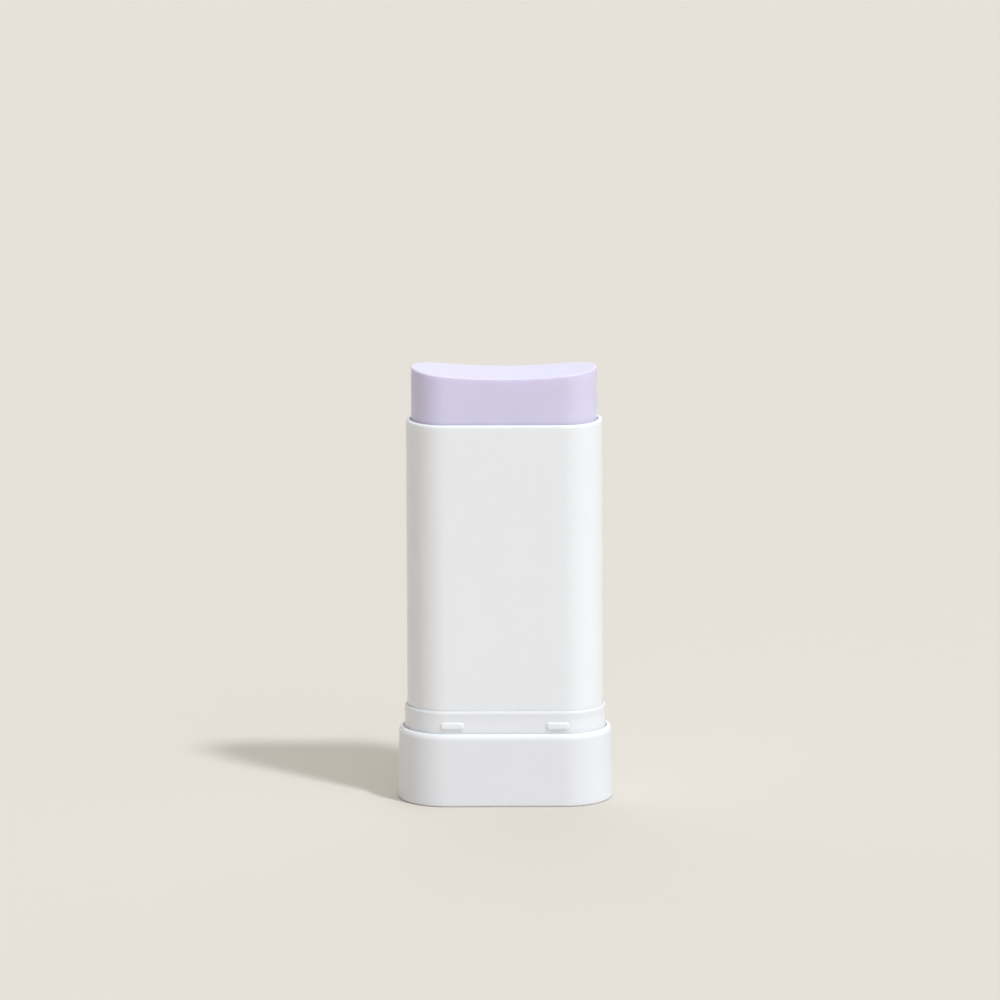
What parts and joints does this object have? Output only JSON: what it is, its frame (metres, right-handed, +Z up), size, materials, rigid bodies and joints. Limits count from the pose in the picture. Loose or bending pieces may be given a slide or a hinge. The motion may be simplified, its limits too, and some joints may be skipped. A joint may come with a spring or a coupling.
{
  "type": "twist-up sunscreen stick",
  "caption": "Twist-up sunscreen stick: a lavender bar in a flat oblong white barrel on a wider base, raised by a screw that the thumb dial in the underside turns.",
  "frame": {"origin": "centre of the base's underside, on the surface that the pack stands on", "axes": "+Z up through the stick's top, X along the pack's width, -Y out of the front"},
  "size_m": [0.0504, 0.0228, 0.1035],
  "materials": {
    "pack_white": "satin moulded white",
    "inner_white": "plain moulded white",
    "seal_grey": "soft grey",
    "lavender_stick": "waxy, smooth, faintly translucent"
  },
  "bodies": {
    "pack": {"base_shell": "pack_white", "neck_collar": "pack_white", "barrel": "pack_white"},
    "dial": {"dial": "inner_white", "spindle": "inner_white", "spindle_seal": "seal_grey"},
    "carriage": {"elevator": "inner_white", "stick": "lavender_stick"}
  },
  "joints": [
    {"name": "dial_turn", "type": "hinge", "parent": "pack", "child": "dial", "pos_m": [0, 0, 0], "axis": [0, 0, 1], "range_deg": [-577, 2071]},
    {"name": "stick_slide", "type": "slide", "parent": "pack", "child": "carriage", "axis": [0, 0, 1], "range_m": [-0.0128, 0.046]}
  ],
  "couplings": [
    {"joint": "dial_turn", "follows": "stick_slide", "rad_per_m": 785.4}
  ]
}
